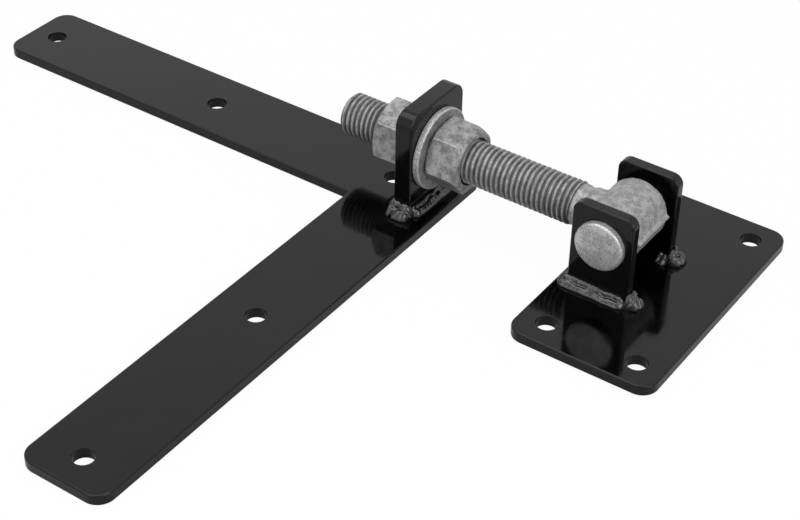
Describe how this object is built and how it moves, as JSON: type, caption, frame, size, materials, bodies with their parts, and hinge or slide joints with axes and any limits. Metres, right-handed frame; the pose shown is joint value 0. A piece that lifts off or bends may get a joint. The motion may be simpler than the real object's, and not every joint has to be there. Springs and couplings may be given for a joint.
{
  "type": "adjustable gate hinge",
  "caption": "Adjustable gate hinge: eyebolt swinging on a clevis pin in a wall bracket, with an L-shaped gate strap clamped along the thread by nuts.",
  "frame": {"origin": "centre of the wall plate's back face", "axes": "+Z out of the wall plate towards the ears, +Y along the clevis pin away from its head, -X along the eyebolt towards the gate strap"},
  "size_m": [0.4575, 0.3527, 0.0655],
  "materials": {
    "powder_coat": "glossy black powder coat",
    "coated_weld": "weld bead under glossy black powder coat",
    "zinc_pin": "hot-dip galvanised, dull and mottled",
    "zinc_fastener": "hot-dip galvanised, dull and mottled",
    "zinc_forging": "hot-dip galvanised forging, dull and mottled"
  },
  "bodies": {
    "wall_bracket": {"wall_plate": "powder_coat", "near_ear": "powder_coat", "far_ear": "powder_coat", "near_ear_weld_outer": "coated_weld", "near_ear_weld_end": "coated_weld", "near_ear_weld_start": "coated_weld", "far_ear_weld_outer": "coated_weld", "far_ear_weld_end": "coated_weld", "far_ear_weld_inner": "coated_weld"},
    "pin": {"clevis_pin": "zinc_pin", "split_pin": "zinc_fastener"},
    "eyebolt": {"eyebolt": "zinc_forging"},
    "strap": {"gate_strap": "powder_coat", "strap_lug": "powder_coat", "lug_weld_bolt_side": "coated_weld", "lug_weld_gate_side": "coated_weld", "lug_weld_end": "coated_weld", "bolt_washer": "zinc_fastener"},
    "inner_nut": {"inner_nut": "zinc_fastener"},
    "outer_nut": {"outer_nut": "zinc_fastener"}
  },
  "joints": [
    {"name": "gate_swing", "type": "hinge", "parent": "wall_bracket", "child": "eyebolt", "pos_m": [-0.017, -0.0037, 0.0368], "axis": [0, 1, 0], "range_deg": [-20, 180]},
    {"name": "pin_turn", "type": "hinge", "parent": "wall_bracket", "child": "pin", "pos_m": [-0.017, 0, 0.0368], "axis": [0, 1, 0], "continuous": true},
    {"name": "strap_adjust", "type": "slide", "parent": "eyebolt", "child": "strap", "axis": [1, 0, 0], "range_m": [-0.021, 0.057]},
    {"name": "inner_nut_turn", "type": "hinge", "parent": "strap", "child": "inner_nut", "pos_m": [-0.115, -0.0037, 0.0368], "axis": [1, 0, 0], "range_deg": [-2521, 6841]},
    {"name": "outer_nut_turn", "type": "hinge", "parent": "strap", "child": "outer_nut", "pos_m": [-0.1485, -0.0037, 0.0368], "axis": [1, 0, 0], "range_deg": [-2521, 6841]}
  ],
  "couplings": [
    {"joint": "inner_nut_turn", "follows": "strap_adjust", "rad_per_m": 2094.4},
    {"joint": "outer_nut_turn", "follows": "strap_adjust", "rad_per_m": 2094.4}
  ]
}
